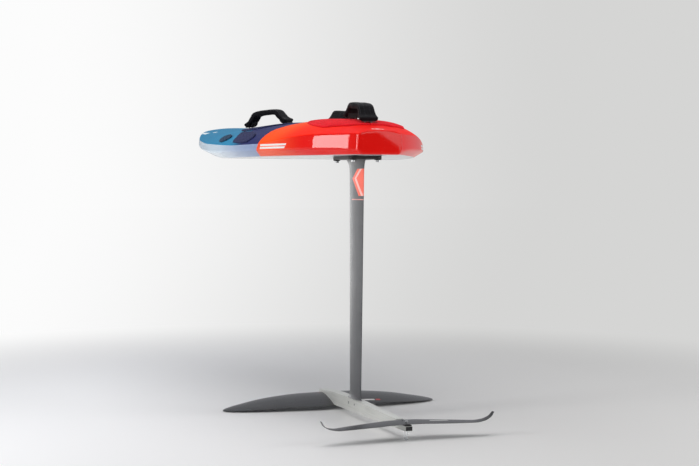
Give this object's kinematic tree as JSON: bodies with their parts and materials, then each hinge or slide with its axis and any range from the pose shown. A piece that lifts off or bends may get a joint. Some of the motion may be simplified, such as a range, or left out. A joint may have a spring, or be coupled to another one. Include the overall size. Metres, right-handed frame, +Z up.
{
  "type": "hydrofoil board",
  "caption": "Short windfoil board with footstraps, standing on its bolted hydrofoil of mast, fuselage, front wing and tail wing.",
  "frame": {"origin": "on the floor under the middle of the whole length, on the centreline", "axes": "+X forward to the nose, +Y to port, +Z up along the mast"},
  "size_m": [2.0799, 0.81, 1.0946],
  "materials": {
    "deck_skin": "gloss lacquer over laminate, blue nose, navy band, orange to red tail",
    "bottom_skin": "gloss lacquer, white bottom with coloured rails",
    "tail_skin": "gloss red lacquer",
    "nose_skin": "gloss blue lacquer",
    "foam": "expanded polystyrene beads",
    "dense_foam": "high density foam block",
    "black_plastic": "moulded, fine grain",
    "grey_plastic": "moulded",
    "rear_eva": "crimson foam pad with cut ribs",
    "navy_eva": "navy foam pad with a fine cut pattern",
    "dark_eva": "dark foam pad with a fine cut pattern",
    "webbing": "woven polyester webbing",
    "strap_cover": "padded neoprene with a jersey face",
    "stainless": "stainless fasteners",
    "brass": "brass nuts",
    "black_alloy": "black anodised",
    "silver_alloy": "machined and bead blasted, clear anodised",
    "mast_carbon": "satin clear coat over carbon",
    "wing_carbon": "matt painted carbon"
  },
  "bodies": {
    "board": {"deck_shell": "deck_skin", "bottom_shell": "bottom_skin", "transom_block": "tail_skin", "nose_block": "nose_skin", "foam_core": "foam", "foil_box": "dense_foam", "foil_tracks": "black_plastic", "rig_track": "black_plastic", "vent_plug": "black_plastic", "rear_pad": "rear_eva", "front_pads": "navy_eva", "heel_pads": "navy_eva", "nose_pads": "dark_eva", "strap_inserts": "grey_plastic", "strap_washers": "black_plastic", "strap_screws": "stainless", "rear_strap_webbing": "webbing", "port_strap_webbing": "webbing", "starboard_strap_webbing": "webbing", "rear_strap_cover": "strap_cover", "port_strap_cover": "strap_cover", "starboard_strap_cover": "strap_cover"},
    "foil": {"track_nuts": "brass", "plate_bolts": "stainless", "plate_washers": "black_plastic", "mast_plate": "black_alloy", "mast_head_screws": "stainless", "mast": "mast_carbon", "mast_foot_bolts": "stainless", "mast_foot_nuts": "stainless", "fuselage": "silver_alloy", "front_wing": "wing_carbon", "front_wing_screws": "stainless", "tail_wing": "wing_carbon", "tail_shim": "black_plastic", "tail_wing_screws": "stainless", "fuselage_end_cap": "black_plastic"}
  },
  "joints": [
    {"name": "foil_slide", "type": "slide", "parent": "board", "child": "foil", "axis": [1, 0, 0], "range_m": [-0.028, 0.028]}
  ]
}
